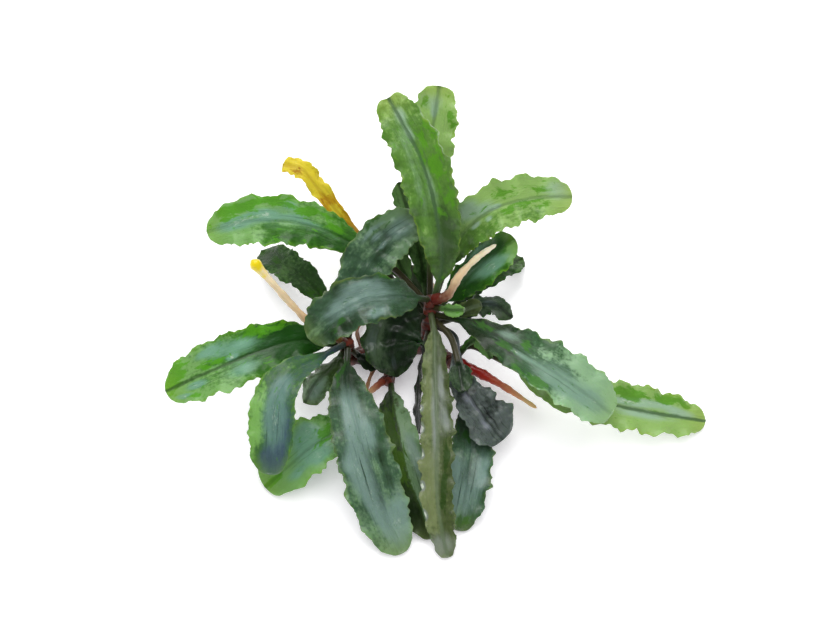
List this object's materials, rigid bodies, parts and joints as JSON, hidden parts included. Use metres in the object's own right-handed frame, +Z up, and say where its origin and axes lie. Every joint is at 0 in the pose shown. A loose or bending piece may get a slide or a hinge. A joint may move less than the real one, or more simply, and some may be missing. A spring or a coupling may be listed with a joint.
{
  "type": "bucephalandra plant",
  "caption": "Creeping aquarium plant with a rooted rhizome and rosettes of leathery, wavy-edged strap leaves on short red petioles, lying loose on a surface.",
  "frame": {"origin": "on the flat underside of the rhizome, below its middle shoot, on the surface that the plant lies on", "axes": "+X along the plant's longest spread, to the right as seen from the front; +Y to the back; +Z up from the surface"},
  "size_m": [0.1186, 0.093, 0.0488],
  "materials": {
    "fresh_leaf": "satin, wet",
    "grey_leaf": "satin, wet",
    "dark_leaf": "glossy, wet",
    "olive_leaf": "satin, wet",
    "withered": "satin",
    "cut_stalk": "satin",
    "red_stalk": "satin",
    "rhizome": "matte",
    "root": "matte"
  },
  "bodies": {
    "root": {"rhizome": "rhizome", "middle_shoot": "rhizome", "left_shoot": "rhizome", "front_shoot": "rhizome", "right_shoot": "rhizome", "leaf_back_tall": "fresh_leaf", "leaf_back_second": "fresh_leaf", "leaf_back_right": "fresh_leaf", "leaf_back_small": "dark_leaf", "leaf_back_lowest": "olive_leaf", "leaf_behind_left": "dark_leaf", "leaf_far_left_upper": "fresh_leaf", "leaf_centre_broad": "grey_leaf", "leaf_centre_crumpled": "dark_leaf", "leaf_front_long": "olive_leaf", "leaf_front_edge_on": "dark_leaf", "leaf_right_upper": "fresh_leaf", "leaf_back_floor": "dark_leaf", "leaf_right_small": "dark_leaf", "leaf_right_long": "grey_leaf", "leaf_bud": "fresh_leaf", "leaf_right_young": "olive_leaf", "leaf_far_right": "fresh_leaf", "leaf_front_purple": "dark_leaf", "leaf_front_right": "grey_leaf", "leaf_right_cupped": "dark_leaf", "leaf_right_curled": "fresh_leaf", "leaf_far_left_lower": "fresh_leaf", "leaf_left_upright": "grey_leaf", "leaf_left_back_floor": "dark_leaf", "leaf_left_arching": "fresh_leaf", "leaf_left_floor": "fresh_leaf", "leaf_left_folded": "olive_leaf", "leaf_front_left_long": "grey_leaf", "leaf_left_inner": "dark_leaf", "leaf_front_olive": "olive_leaf", "withered_leaf": "withered", "cut_stalk_left": "cut_stalk", "cut_stalk_middle": "cut_stalk", "cut_stalk_back": "cut_stalk", "red_stalk_right": "red_stalk", "red_stalk_front": "red_stalk", "root_back_left": "root", "root_back_middle": "root", "root_back_right": "root", "root_front_left": "root"}
  },
  "joints": []
}
